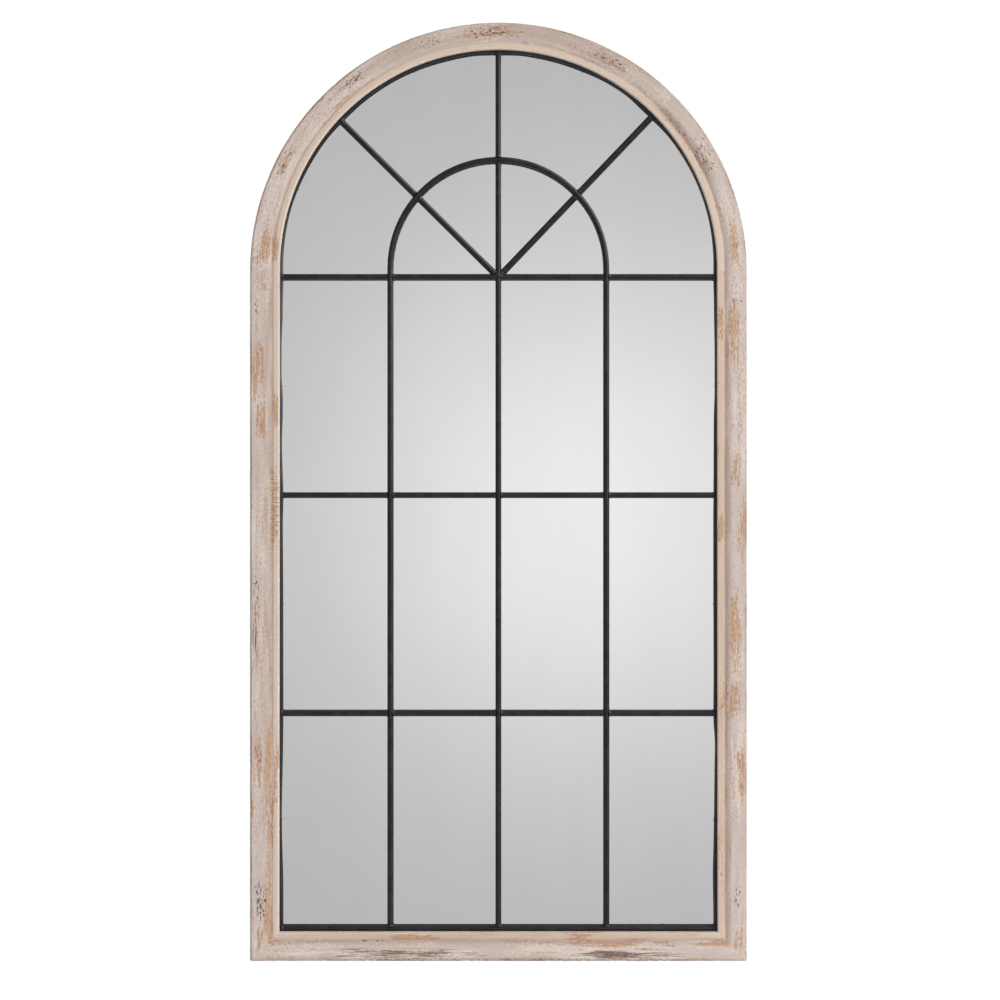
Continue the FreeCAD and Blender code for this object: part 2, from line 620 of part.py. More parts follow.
RAIL_LINE = "(Sizes.face_width - Sizes.screw_line)"
screw_spots = [(f"({step} * Sizes.rail_screw_spacing)", RAIL_LINE) for step in (-1, 0, 1)]
STILE_RUN = f"({SPRINGING} - Sizes.stile_screw_drop - Sizes.lowest_stile_screw)"
for step in range(STILE_SCREWS):
    height = f"(Sizes.lowest_stile_screw + {step} * {STILE_RUN} / {STILE_SCREWS - 1})"
    screw_spots += [(f"-{SCREW_HALF}", height), (SCREW_HALF, height)]
for degrees in ARCH_SCREW_ANGLES:
    screw_spots.append((f"({SCREW_HALF} * cos({degrees}))",
                        f"({SIGHT_CENTRE} + {SCREW_HALF} * sin({degrees}))"))
node("back_board_screws", together("board_screws", [board_screw(*spot) for spot in screw_spots]))

strap_spots = [(f"{sign}{SCREW_HALF}", f"({HINGE_HEIGHT} - {inset})") for sign in ("-", "")
               for inset in (UPPER_STRAP_SCREW,
                             f"({UPPER_STRAP_SCREW} + Sizes.strap_screw_spacing)")]
node("hanger_screws", together("strap_screws", [strap_screw(*spot) for spot in strap_spots]))

screw_holes = together("screw_holes", screw_stocks)
node("back_board", cut("board_drilled", board, screw_holes))

# -------------------------------------------- the members, with their fasteners let in
fastener_holes = together("fastener_holes",
                          [nodes["joint_dowels"], nodes["ring_staples"], screw_holes])
for label, body in members.items():
    node(label, cut(f"{label}_bored", body, fastener_holes))


# ---------------------------------------------------------------- hanging straps and rings
def hanger_strap(label, middle):
    """A steel strap with a round lower end and a rolled eye at its top."""
    side = f"({middle} - Sizes.strap_width / 2)"
    low = f"({HINGE_HEIGHT} - {STRAP_LENGTH})"
    plate = solid("Box", "strap_plate", Length="Sizes.strap_width",
                  Width="Sizes.strap_thickness", Height=STRAP_LENGTH)
    place(plate, side, BOARD_BACK, low)
    end = solid("Cylinder", "strap_end", Radius="Sizes.strap_width / 2",
                Height="Sizes.strap_thickness")
    place(end, middle, BOARD_BACK, low, TO_BACK)
    roll = solid("Cylinder", "strap_roll", Radius=f"{EYE} + Sizes.strap_thickness",
                 Height="Sizes.strap_width")
    bore = solid("Cylinder", "strap_bore", Radius=EYE, Height="Sizes.strap_width")
    for tube in (roll, bore):
        place(tube, side, HINGE_DEPTH, HINGE_HEIGHT, TO_RIGHT)
    eyed = cut(f"{label}_eyed", joined(f"{label}_stock", [plate, end, roll]), bore)
    return node(label, cut(f"{label}_drilled", eyed, screw_holes))


def hanger_ring(label, middle):
    """A D-shaped ring of round wire, hanging straight down from the eye."""
    half = f"({RING_BOW} + {WIRE})"
    bow_height = f"({HINGE_HEIGHT} - Sizes.ring_corner - Sizes.ring_limb)"
    bar_half = f"({half} - Sizes.ring_corner)"
    bar = solid("Cylinder", "ring_bar", Radius=WIRE, Height=f"2 * {bar_half}")
    wire = [
        place(bar, f"({middle} - {bar_half})", HINGE_DEPTH, HINGE_HEIGHT, TO_RIGHT),
        place(torus("ring_bow", half, WIRE, 180), middle, HINGE_DEPTH, bow_height,
              facing_arc(180)),
    ]
    for way, from_degrees in (("-", 90), ("+", 0)):
        wire.append(place(torus("ring_bend", "Sizes.ring_corner", WIRE, 90),
                          f"({middle} {way} {bar_half})", HINGE_DEPTH,
                          f"({HINGE_HEIGHT} - Sizes.ring_corner)", facing_arc(from_degrees)))
        limb = solid("Cylinder", "ring_limb", Radius=WIRE, Height="Sizes.ring_limb")
        wire.append(place(limb, f"({middle} {way} {half})", HINGE_DEPTH, bow_height))
    return node(label, joined(f"{label}_wire", wire))


for side, sign in (("left", "-"), ("right", "")):
    hanger_strap(f"hanger_strap_{side}", f"{sign}{SCREW_HALF}")
    hanger_ring(f"hanger_ring_{side}", f"{sign}{SCREW_HALF}")

# ------------------------------------------------------------------------- wall pads
pads = []
pad_spots = [(f"-{PAD_HALF}", "Sizes.pad_height"), (PAD_HALF, "Sizes.pad_height")]
for degrees in PAD_ANGLES:
    pad_spots.append((f"({PAD_HALF} * cos({degrees}))",
                      f"({SIGHT_CENTRE} + {PAD_HALF} * sin({degrees}))"))
for across, height in pad_spots:
    pad = solid("Cylinder", "wall_pad", Radius="Sizes.pad_diameter / 2",
                Height=f"{WALL_DEPTH} - {BOARD_BACK}")
    pads.append(place(pad, across, BOARD_BACK, height, TO_BACK))
node("wall_pads", together("pads", pads))

# ------------------------------------------------------------------------- check and write
doc.recompute()
for thing in doc.Objects:
    if "Invalid" in thing.State or "Error" in thing.State:
        raise RuntimeError(f"{thing.Name} ({thing.Label}) did not recompute: {thing.State}")
os.makedirs("parts", exist_ok=True)
for label, thing in nodes.items():
    shape = thing.Shape
    if shape.isNull() or not shape.isValid() or not shape.Solids:
        raise RuntimeError(f"{label} has no valid shape")
    shape.exportStep(os.path.join("parts", f"{label}.step"))
print(f"{len(nodes)} sub-parts of {sum(len(t.Shape.Solids) for t in nodes.values())} solids, "
      f"{number(WALL_DEPTH):.2f} deep, hinge {number(HINGE_DEPTH) - number(WALL_DEPTH):.2f} "
      f"from the wall and {number(HINGE_HEIGHT) - number(BEARING_HEIGHT):.2f} below the bearing")
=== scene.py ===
import math

import bmesh
import bpy
import numpy as np
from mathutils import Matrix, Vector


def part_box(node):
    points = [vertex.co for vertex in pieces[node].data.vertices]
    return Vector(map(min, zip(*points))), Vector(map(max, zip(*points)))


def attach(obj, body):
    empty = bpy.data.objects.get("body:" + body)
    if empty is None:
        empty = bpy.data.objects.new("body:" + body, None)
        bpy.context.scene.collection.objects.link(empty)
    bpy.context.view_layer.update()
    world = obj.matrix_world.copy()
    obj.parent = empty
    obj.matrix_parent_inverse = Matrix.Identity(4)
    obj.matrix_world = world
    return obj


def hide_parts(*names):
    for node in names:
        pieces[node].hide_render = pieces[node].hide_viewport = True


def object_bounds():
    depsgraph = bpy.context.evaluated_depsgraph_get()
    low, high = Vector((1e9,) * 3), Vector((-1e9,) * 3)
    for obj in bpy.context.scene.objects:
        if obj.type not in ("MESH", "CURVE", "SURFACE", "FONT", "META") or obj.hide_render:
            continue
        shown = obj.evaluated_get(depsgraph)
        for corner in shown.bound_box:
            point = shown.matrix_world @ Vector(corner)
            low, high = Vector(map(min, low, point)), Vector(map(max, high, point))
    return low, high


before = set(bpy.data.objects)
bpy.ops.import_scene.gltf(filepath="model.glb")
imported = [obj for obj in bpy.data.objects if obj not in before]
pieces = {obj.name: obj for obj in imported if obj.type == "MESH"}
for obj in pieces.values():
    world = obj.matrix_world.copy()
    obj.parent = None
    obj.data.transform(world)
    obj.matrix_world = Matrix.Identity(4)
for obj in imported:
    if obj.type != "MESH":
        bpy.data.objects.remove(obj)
cad_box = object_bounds()

# ---------------------------------------------------------------------------- wooden frame
# Seven lengths of one moulding: a bottom rail and two stiles mitred at the foot, and an arch
# sawn in four segments. Brushed softwood under a thin limewash that is rubbed through to tan
# wood in patches. Each member here is the moulding's section carried along that member.
MM = 0.001
HALF_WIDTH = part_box("bottom_rail")[1].x
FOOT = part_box("bottom_rail")[0].z
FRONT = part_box("bottom_rail")[0].y
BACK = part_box("bottom_rail")[1].y
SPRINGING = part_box("left_stile")[1].z
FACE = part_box("bottom_rail")[1].z - FOOT
SIGHT_HALF = HALF_WIDTH - FACE
CROWN_FACE = 42 * MM
SIGHT_RISE = FACE - CROWN_FACE           # the sight edge's centre above the outer curve's
FACE_SPREAD = 0.9 * MM                   # how much wider the face is at the springing
STEP = 2 * MM                            # between two cross sections


def moulding_section():
    """The section as three arrays over its outline: a point lies own + share * face width from
    the outside of the frame, and deep behind the front. Arcs are r sin and r (1 - cos)."""
    arris, roll, drop, bead, lip, rebate = (v * MM for v in (4, 24, 3.5, 2.5, 11, 9))
    quirk, shoulder, top = 13.2 * MM, (8.6 * MM, 2.6 * MM), 2.5 * MM
    outside = [(0, 0, v) for v in np.linspace(BACK - FRONT, arris * 1.2, 7)]
    turn = np.linspace(0, math.pi / 2, 7)
    corner = [(arris * (1 - math.cos(a)), 0, arris * (1 - math.sin(a))) for a in turn]
    band = [((1 - t) * arris - t * roll, t, 0) for t in np.linspace(0.06, 1, 15)]
    radius = ((roll - quirk) ** 2 + drop ** 2) / (2 * drop)
    sweep = np.linspace(0, math.asin((roll - quirk) / radius), 12)[1:]
    rolled = [(-roll + radius * math.sin(a), 1, radius * (1 - math.cos(a))) for a in sweep]
    groove = [(-w * MM, 1, v * MM) for w, v in ((12.5, 3.85), (11.9, 4), (11.3, 3.9),
                                                (10.6, 3.6), (9.9, 3.25), (9.2, 2.93))]
    groove.append((-shoulder[0], 1, shoulder[1]))
    flat = [(-w, 1, top + (shoulder[1] - top) * (w - bead) / (shoulder[0] - bead))
            for w in np.linspace(shoulder[0], bead, 7)[1:]]
    nose = [(-bead + bead * math.sin(a), 1, top + bead * (1 - math.cos(a))) for a in turn[1:]]
    wall = [(0, 1, v) for v in np.linspace(top + bead, lip, 4)[1:]]
    behind = [(-rebate, 1, lip), (-rebate, 1, BACK - FRONT)]
    own, share, deep = np.array(
        outside + corner + band + rolled + groove + flat + nose + wall + behind).T
    return own, share, deep


OWN, SHARE, DEEP = moulding_section()


def eased_corner(along, out, radius=3 * MM):
    """Rounds the outer corner of a mitre: points nearer it than the circle about (radius,
    radius) are drawn back onto that circle, whatever their direction."""
    short = np.hypot(radius - along, radius - out)
    beyond = (along < radius) & (out < radius) & (short > radius)
    back = np.where(beyond, radius / np.maximum(short, 1e-9), 1)
    return radius - (radius - along) * back, radius - (radius - out) * back


def stile_grid(run):
    """Grid of a stile: along runs from the mitre, whose cut lies as far along as a point is
    from the outside, to the far end. Returns along and out from the outside."""
    share = np.linspace(0, 1, int(run / STEP))[:, None]
    out = OWN + SHARE * (FACE + FACE_SPREAD * share)
    return out + share * (run - out), out


def unevenness(along, out, seed):
    """Hand-planed unevenness from -1 to 1: the mean of eight slow sine waves, sin(pace * along
    + slant * out + start), of random pace, slant and start."""
    rng = np.random.default_rng(seed)
    count = 8
    waves = np.zeros_like(along)
    for _ in range(count):
        pace = rng.uniform(8, 70)
        slant = rng.uniform(-60, 60)
        waves += np.sin(pace * along + slant * out + rng.uniform(0, 6.3)) / count
    return waves


# Wear, listed: kind, distance along the member, distance round it from its outer
# arris (negative down the outside wall), half length, half width (mm) and strength. Stiles
# count up from the foot, the rail to the right from its middle, and the arch from the left
# springing along its outside.
# The grime patches are partly real grime and partly painted shade: long bands of them darken the outer
# arrises and the slopes beside the groove along whole members.
WEAR = {
    "left_stile": (
        ("grime_and_shade", 550, 0, 620, 3.5, 0.6), ("grime_and_shade", 560, 29, 620, 7, 0.3),
        ("bare", 33, 15, 22, 7, 0.9), ("bare", 83, 29, 52, 7, 1), ("pits", 97, 16, 38, 10, 1),
        ("bare", 242, 5, 19, 4, 0.8), ("bare", 225, 34, 50, 8, 0.8), ("pits", 318, 14, 30, 7, 0.6),
        ("bare", 314, 13, 40, 8, 0.9), ("bare", 312, 29, 76, 6, 0.85), ("bare", 300, 41, 60, 5, 0.8),
        ("bare", 530, 10, 58, 6, 1), ("streak", 530, 8, 54, 5, 1), ("pits", 590, 10, 30, 8, 0.8),
        ("brushed", 723, 39, 70, 7, 1), ("bare", 700, 40, 44, 5, 0.4), ("pits", 640, 14, 60, 10, 0.35),
        ("bare", 863, 17, 36, 9, 0.9), ("bare", 882, 41, 30, 5, 0.8), ("bare", 955, 16, 40, 8, 0.9),
        ("streak", 1051, 28.5, 6, 1.5, 1), ("bare", 1084, 20, 20, 16, 0.5),
        ("bare", 925, 9, 45, 5, 0.8), ("pits", 1030, 10, 45, 6, 0.7), ("bare", 180, -12, 60, 6, 0.7),
        ("bare", 640, -9, 80, 5, 0.6), ("streak", 900, -14, 60, 4, 0.5),
    ),
    "right_stile": (
        ("grime_and_shade", 550, 31, 620, 6, 0.4), ("grime_and_shade", 550, 0, 620, 4, 0.4),
        ("grime_and_shade", 550, 40, 620, 6, 0.22), ("bare", 260, -10, 70, 6, 0.7), ("streak", 560, -13, 50, 4, 0.5),
        ("bare", 900, -12, 60, 6, 0.7),
        ("pits", 1055, 17, 12, 12, 0.8), ("bare", 1002, 20, 56, 12, 0.8),
        ("bare", 1016, 41, 30, 5, 1), ("bare", 786, 18, 32, 9, 0.8), ("bare", 683, 9, 46, 6, 0.8),
        ("bare", 691, 41, 21, 5, 1.1), ("streak", 700, 22, 12, 3, 0.5),
        ("bare", 525, 19, 78, 10, 0.75), ("bare", 419, 26, 34, 20, 0.9),
        ("streak", 425, 31, 26, 2, 0.9), ("bare", 300, 10, 52, 7, 0.95),
        ("bare", 153, 41, 54, 5, 0.5), ("pits", 102, 16, 22, 10, 0.8), ("bare", 38, 15, 22, 8, 0.7),
    ),
    "bottom_rail": (
        # the bands at 0 and 1.5 mm darken the rail's bottom edge along its whole length, partly as painted
        # shade
        ("grime_and_shade", 0, 38, 360, 11, 0.3), ("grime_and_shade", 0, 0, 397, 5, 1.3), ("streak", 0, 1.5, 397, 2.5, 0.7),
        ("grime_and_shade", 0, 9, 397, 5, 0.2), ("grime_and_shade", -170, 16, 90, 6, 0.6), ("bare", -200, -12, 70, 6, 0.6),
        ("bare", 150, -10, 80, 6, 0.6),
        ("bare", 342, 28, 34, 6, 0.9), ("bare", 268, 28, 20, 5, 0.8), ("bare", 184, 28, 46, 6, 0.9),
        ("streak", 200, 10, 110, 7, 1), ("streak", 176, 11, 46, 8, 1.2), ("pits", 190, 12, 60, 9, 0.7),
        ("bare", 190, 14, 80, 8, 0.5), ("bare", 128, 36, 26, 10, 0.95),
        ("streak", -150, 12, 130, 8, 1), ("bare", -119, 17, 74, 6, 0.5),
        ("bare", -130, 38, 42, 6, 1), ("pits", -201, 32, 30, 2, 0.9),
        ("streak", -240, 8.5, 23, 2.5, 1.2), ("bare", -304, 12, 50, 6, 0.7),
        ("streak", -304, 12, 46, 5, 0.5), ("bare", -368, 30, 22, 6, 0.7),
    ),
    "arch": (
        ("grime_and_shade", 624, 13, 300, 13, 0.35), ("grime_and_shade", 200, 0, 280, 4, 0.7),
        ("grime_and_shade", 900, 0, 380, 4, 0.45),
        ("bare", 250, -12, 70, 6, 0.6), ("bare", 700, -10, 60, 5, 0.6), ("bare", 1080, -12, 70, 6, 0.7),
        ("bare", 45, 24, 29, 11, 1), ("bare", 40, 40, 26, 6, 0.9), ("pits", 22, 8, 22, 7, 0.7),
        ("pits", 188, 14, 38, 10, 0.8), ("bare", 190, 16, 34, 8, 0.5), ("bare", 118, 27, 24, 3, 0.7),
        ("bare", 307, 30, 38, 3, 0.9), ("streak", 307, 30, 36, 2, 0.6), ("pits", 367, 16, 26, 11, 0.9),
        ("pits", 510, 15, 32, 10, 0.8), ("bare", 615, 15, 55, 10, 0.8), ("pits", 615, 15, 52, 10, 0.9),
        ("streak", 672, 30, 13, 2, 1), ("grime_and_shade", 751, 15, 14, 11, 0.4), ("brushed", 751, 15, 14, 11, 0.5),
        ("grime_and_shade", 815, 16, 46, 10, 0.5), ("pits", 815, 16, 44, 10, 0.8), ("bare", 815, 20, 40, 6, 0.3),
        ("grime_and_shade", 976, 29, 50, 8, 0.5), ("bare", 976, 30, 38, 5, 0.4), ("pits", 976, 30, 48, 8, 0.7),
        ("grime_and_shade", 1046, 26, 40, 8, 0.5), ("pits", 1046, 24, 36, 16, 0.85),
        ("bare", 1199, 17, 42, 7, 0.9),
    ),
}
WEAR_KINDS = ("grime_and_shade", "bare", "pits", "streak", "brushed")


def worn(kind, member, along, girth):
    """How worn each point is: the strongest patch, each exp(-(x/half length)^4 - (y/half
    width)^4) times its strength, with x and y counted from the patch's middle."""
    most = np.zeros_like(along)
    for patch, place_along, place_round, half_length, half_width, strength in WEAR[member]:
        if patch == kind:
            x = (along / MM - place_along) / half_length
            y = (girth / MM - place_round) / half_width
            most = np.maximum(most, strength * np.exp(-x ** 4 - y ** 4))
    return most


def skin(name, grids, **fields):
    """A closed surface through each grid of points, whose columns run round a section and
    whose rows run along it, with both ends capped; fields are named values at the points."""
    faces, first = [], 0
    for grid in grids:
        rows, columns = grid.shape[:2]
        index = first + np.arange(rows * columns).reshape(rows, columns)
        quads = np.stack([index[:-1], np.roll(index, -1, 1)[:-1], np.roll(index, -1, 1)[1:],
                          index[1:]], -1).reshape(-1, 4)
        faces += quads.tolist() + [index[0].tolist(), index[-1].tolist()]
        first += rows * columns
    mesh = bpy.data.meshes.new(name)
    mesh.from_pydata(np.concatenate([grid.reshape(-1, 3) for grid in grids]).tolist(), [], faces)
    for field, values in fields.items():
        vector = values.ndim == 3
        attribute = mesh.attributes.new(field, "FLOAT_VECTOR" if vector else "FLOAT", "POINT")
        attribute.data.foreach_set("vector" if vector else "value",
                                   values.astype(np.float32).ravel())
    solid = bmesh.new()
    solid.from_mesh(mesh)
    bmesh.ops.recalc_face_normals(solid, faces=solid.faces)
    solid.to_mesh(mesh)
    solid.free()
    mesh.shade_smooth()
    mesh.set_sharp_from_angle(angle=math.radians(35))
    piece = bpy.data.objects.new(name, mesh)
    bpy.context.scene.collection.objects.link(piece)
    return piece


def add(tree, kind, *inputs, **settings):
    """A shader node; an input is a number, a colour, another node's output or None."""
    made = tree.nodes.new(kind)
    for setting, value in settings.items():
        setattr(made, setting, value)
    for socket, value in zip(made.inputs, inputs):
        if isinstance(value, bpy.types.NodeSocket):
            tree.links.new(value, socket)
        elif value is not None:
            socket.default_value = value
    return made


def sums(tree, operation, a, b=None, c=None):
    """One sum of two or three numbers."""
    return add(tree, "ShaderNodeMath", a, b, c, operation=operation).outputs[0]


def rises(tree, value, low, high):
    """0 below low and 1 above high, with a soft step between them."""
    step = add(tree, "ShaderNodeMapRange", value, low, high, 0.0, 1.0,
               interpolation_type="SMOOTHSTEP")
    return step.outputs[0]


def coat(tree, share, under, over):
    """One colour over another, by a share of 0 to 1."""
    mix = tree.nodes.new("ShaderNodeMix")
    mix.data_type = "RGBA"
    for socket, value in zip((mix.inputs[0], mix.inputs[6], mix.inputs[7]), (share, under, over)):
        if isinstance(value, bpy.types.NodeSocket):
            tree.links.new(value, socket)
        else:
            socket.default_value = value
    return mix.outputs[2]


def cloud(tree, vector, stretch, detail=4.0, roughness=0.55):
    """Noise from 0 to 1 on a vector stretched by three factors."""
    stretched = add(tree, "ShaderNodeVectorMath", vector, stretch, operation="MULTIPLY")
    return add(tree, "ShaderNodeTexNoise", stretched.outputs[0], None, 1.0, detail,
               roughness).outputs[0]


def stirred(tree, level, *clouds):
    """A level with noises added, each counted from its middle and multiplied by its gain."""
    for noise, gain in clouds:
        level = sums(tree, "MULTIPLY_ADD", noise, gain, sums(tree, "ADD", level, -gain / 2))
    return level


def tint(red, green, blue):
    """A paint colour, given as 0 to 255 in sRGB, in the linear values that shaders use."""
    value = np.array([red, green, blue]) / 255
    linear = np.where(value <= 0.04045, value / 12.92, ((value + 0.055) / 1.055) ** 2.4)
    return (*linear.tolist(), 1.0)


def finish_of(name, roughness, metallic=0.0):
    """A new material and its tree and surface shader."""
    material = bpy.data.materials.new(name)
    material.use_nodes = True
    tree = material.node_tree
    surface = next(n for n in tree.nodes if n.type == "BSDF_PRINCIPLED")
    surface.inputs["Metallic"].default_value = metallic
    if isinstance(roughness, float):
        surface.inputs["Roughness"].default_value = roughness
    return material, tree, surface


def relief(tree, surface, height, distance, strength):
    """Bumps a surface by a height of 0 to 1, which is that distance in metres."""
    bump = tree.nodes.new("ShaderNodeBump")
    bump.inputs["Strength"].default_value = strength
    bump.inputs["Distance"].default_value = distance
    tree.links.new(height, bump.inputs["Height"])
    tree.links.new(bump.outputs[0], surface.inputs["Normal"])


def limewash():
    """Limewash over brushed softwood. The pattern's vector is metres along the member, round
    it from its outer arris and from the sight edge, so the grain follows every member."""
    material, tree, surface = finish_of("limewash", None)
    grain = add(tree, "ShaderNodeAttribute", attribute_name="grain").outputs["Vector"]
    wear = {kind: add(tree, "ShaderNodeAttribute", attribute_name=kind).outputs["Fac"]
            for kind in WEAR_KINDS}
    apart = add(tree, "ShaderNodeSeparateXYZ", grain)
    from_sight = apart.outputs[2]
    off_edge = sums(tree, "ABSOLUTE", sums(tree, "SUBTRACT", apart.outputs[1], 1 * MM))

    lines = cloud(tree, grain, (26, 270, 0), 4.0, 0.65)
    strokes = cloud(tree, grain, (12, 120, 0), 3.0)
    mottle = cloud(tree, grain, (170, 320, 0), 3.0, 0.65)
    pores = cloud(tree, grain, (120, 380, 0), 3.0, 0.65)
    bristles = cloud(tree, grain, (380, 50, 0), 3.0)
    drift = cloud(tree, grain, (8, 26, 0), 2.0)
    fibres = cloud(tree, grain, (20, 760, 0), 3.0)

    # the wash itself: pinkish grey, creamier and cleaner on the bead, thin and thick by turns,
    # with grime and painted shade rubbed in and a painted highlight along the sight edge
    wash = coat(tree, rises(tree, drift, 0.38, 0.62), tint(203, 187, 178), tint(194, 179, 171))
    on_bead = rises(tree, from_sight, 12.5 * MM, 9.2 * MM)
    wash = coat(tree, on_bead, wash, tint(208, 188, 171))
    patchy = sums(tree, "MULTIPLY_ADD", rises(tree, drift, 0.56, 0.42), 0.3, 0.22)
    patchy = sums(tree, "MULTIPLY", patchy, sums(tree, "MULTIPLY_ADD", on_bead, -0.7, 1.0))
    coverage = stirred(tree, 0.0, (mottle, 1.0), (strokes, 0.7))
    wash = coat(tree, sums(tree, "MULTIPLY", rises(tree, coverage, 0.03, 0.16), patchy), wash,
                tint(158, 130, 114))
    wash = coat(tree, sums(tree, "MULTIPLY", rises(tree, coverage, -0.03, -0.16), patchy), wash,
                tint(226, 216, 209))
    # grime together with painted shade, darker where the strokes run
    grime_and_shade_share = sums(tree, "MULTIPLY", wear["grime_and_shade"], sums(tree, "ADD", strokes, 0.35))
    wash = coat(tree, grime_and_shade_share, wash, tint(150, 120, 98))
    # painted highlight: a lighter line along the sight edge, where light catches the bead's nose
    sight_edge_highlight = rises(tree, from_sight, 3.2 * MM, 1.2 * MM)
    wash = coat(tree, sums(tree, "MULTIPLY", sight_edge_highlight, 0.25), wash, tint(232, 221, 212))

    # bare wood where it is rubbed through, from pale tan to brown
    wood = coat(tree, rises(tree, pores, 0.42, 0.6), tint(196, 161, 134), tint(150, 114, 90))
    wood = coat(tree, sums(tree, "MULTIPLY", rises(tree, strokes, 0.46, 0.6), 0.6), wood,
                tint(184, 145, 108))
    bareness = sums(tree, "MULTIPLY", wear["bare"], 0.9)
    bareness = stirred(tree, bareness, (lines, 2.2), (mottle, 1.6), (strokes, 1.6))
    bare = rises(tree, bareness, 0.34, 0.84)
    colour = coat(tree, sums(tree, "MULTIPLY", bare, 0.86), wash, wood)

    # marks of a wide brush dragged across, painted shade in the groove, white flakes between dark
    # streaks, open pits and knocks along the arris
    brushed = stirred(tree, sums(tree, "MULTIPLY", wear["brushed"], 0.75), (bristles, 2.8),
                      (mottle, 0.8))
    colour = coat(tree, sums(tree, "MULTIPLY", rises(tree, brushed, 0.45, 0.8), 0.85), colour,
                  tint(172, 132, 104))
    # painted shade: the groove and the slopes beside it darkened in streaks, where less light reaches
    groove = sums(tree, "MULTIPLY", rises(tree, from_sight, 9.2 * MM, 11.2 * MM),
                  rises(tree, from_sight, 18.5 * MM, 13 * MM))
    painted_groove_shade = sums(tree, "MULTIPLY_ADD", rises(tree, strokes, 0.4, 0.62), 0.22, 0.16)
    colour = coat(tree, sums(tree, "MULTIPLY", groove, painted_groove_shade), colour, tint(160, 132, 112))
    streaked = stirred(tree, sums(tree, "MULTIPLY", wear["streak"], 0.8), (fibres, 3.4),
                       (strokes, 1.2))
    flakes = sums(tree, "MULTIPLY", rises(tree, wear["streak"], 0.1, 0.7),
                  rises(tree, mottle, 0.44, 0.56))
    colour = coat(tree, sums(tree, "MULTIPLY", flakes, 0.6), colour, tint(228, 219, 214))
    streaks = rises(tree, streaked, 0.7, 0.92)
    colour = coat(tree, sums(tree, "MULTIPLY", streaks, 0.85), colour, tint(104, 76, 60))
    pitted = stirred(tree, sums(tree, "MULTIPLY", wear["pits"], 0.85), (pores, 3.2), (mottle, 1.8))
    pits = rises(tree, pitted, 0.82, 1.08)
    colour = coat(tree, sums(tree, "MULTIPLY", pits, 0.9), colour, tint(82, 60, 50))
    at_arris = rises(tree, off_edge, 2.5 * MM, 0.5 * MM)
    knocks = stirred(tree, sums(tree, "MULTIPLY", at_arris, 0.75), (pores, 2.0), (strokes, 2.6))
    knocks = sums(tree, "MULTIPLY", rises(tree, knocks, 0.7, 1.0),
                  rises(tree, off_edge, 3.5 * MM, 1.8 * MM))
    colour = coat(tree, sums(tree, "MULTIPLY", knocks, 0.75), colour, tint(132, 104, 88))
    tree.links.new(colour, surface.inputs["Base Color"])

    dull = sums(tree, "MULTIPLY_ADD", bare, -0.12, 0.78)
    tree.links.new(dull, surface.inputs["Roughness"])
    surface.inputs["Specular IOR Level"].default_value = 0.3
    height = stirred(tree, 0.5, (lines, 0.5), (mottle, 0.5), (strokes, 0.4))
    height = sums(tree, "MULTIPLY_ADD", pits, -0.6, height)
    height = sums(tree, "MULTIPLY_ADD", streaks, -0.4, height)
    height = sums(tree, "MULTIPLY_ADD", bare, -0.2, height)
    relief(tree, surface, height, 0.5 * MM, 0.8)
    return material


LIMEWASH = limewash()
WORKED_DEPTH = 12 * MM                   # the hand work fades out this far behind the front
PLANED = 0.12 * MM                       # mean depth of the planing, and its swing about that
CHIP_MIDDLE, CHIP_WIDTH = 1.2 * MM, 2.2 * MM       # of the chipped strip, from the outside
CHIP_DEPTH, CHIP_BITE = 0.9 * MM, 0.5 * MM         # backwards, and inwards from the side
ARRIS_START = 5 * MM                     # depth from which distance round the member counts


def moulded(name, along, out, place, seed, member, nodes):
    """One member: its grid of distances put in place, worn, and given the limewash. The arris
    is chipped by exp(-((out - middle) / width)^2) where a faster unevenness peaks."""
    deep = np.broadcast_to(DEEP, out.shape)
    shown = np.clip(1 - deep / WORKED_DEPTH, 0, 1)
    sink = PLANED * (1 + unevenness(along, out, seed)) * shown
    arris = np.exp(-((out - CHIP_MIDDLE) / CHIP_WIDTH) ** 2) * shown
    chips = arris * np.clip(unevenness(along * 9, out, seed + 50) * 2.6 - 0.5, 0, 1)
    sink = sink + chips * CHIP_DEPTH
    side = out + chips * CHIP_BITE
    if member == "bottom_rail":
        end, side = eased_corner(HALF_WIDTH - np.abs(along), side)
        points = place(np.sign(along) * (HALF_WIDTH - end), side, FRONT + deep + sink)
    elif member == "arch":
        points = place(along, side, FRONT + deep + sink)
    else:
        points = place(*eased_corner(along, side), FRONT + deep + sink)
    girth = out + np.where(SHARE == 0, -1, 1) * np.maximum(DEEP - ARRIS_START, 0)
    fields = {"grain": np.stack([along + seed, girth, face_width(along, member) - out], -1)}
    for kind in WEAR_KINDS:
        fields[kind] = worn(kind, member, along, girth)
    piece = skin(name, [points], **fields)
    piece.data.materials.append(LIMEWASH)
    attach(piece, "mirror")
    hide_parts(*nodes)


def arch_face(turn):
    """Width of the arch's face at an angle from the right: the outer radius less the root of
    the sight circle about its own, higher centre."""
    rise = SIGHT_RISE * np.sin(turn)
    reach = rise + np.sqrt(SIGHT_HALF ** 2 - (SIGHT_RISE * np.cos(turn)) ** 2)
    return HALF_WIDTH - reach + FACE_SPREAD * np.cos(turn) ** 2


def face_width(along, member):
    """Width of the face at each point of a member. The rail takes the stiles' rule, which is
    within a millimetre of its own even width."""
    if member == "arch":
        return arch_face(math.pi - along / HALF_WIDTH)
    return FACE + FACE_SPREAD * along / (SPRINGING - FOOT)


for side, hand, seed in (("left", -1, 3), ("right", 1, 7)):
    along, out = stile_grid(SPRINGING - FOOT)
    moulded(f"{side}_stile_wood", along, out,
            lambda a, o, y, hand=hand: np.stack([hand * (HALF_WIDTH - o), y, FOOT + a], -1),
            seed, f"{side}_stile", [f"{side}_stile"])

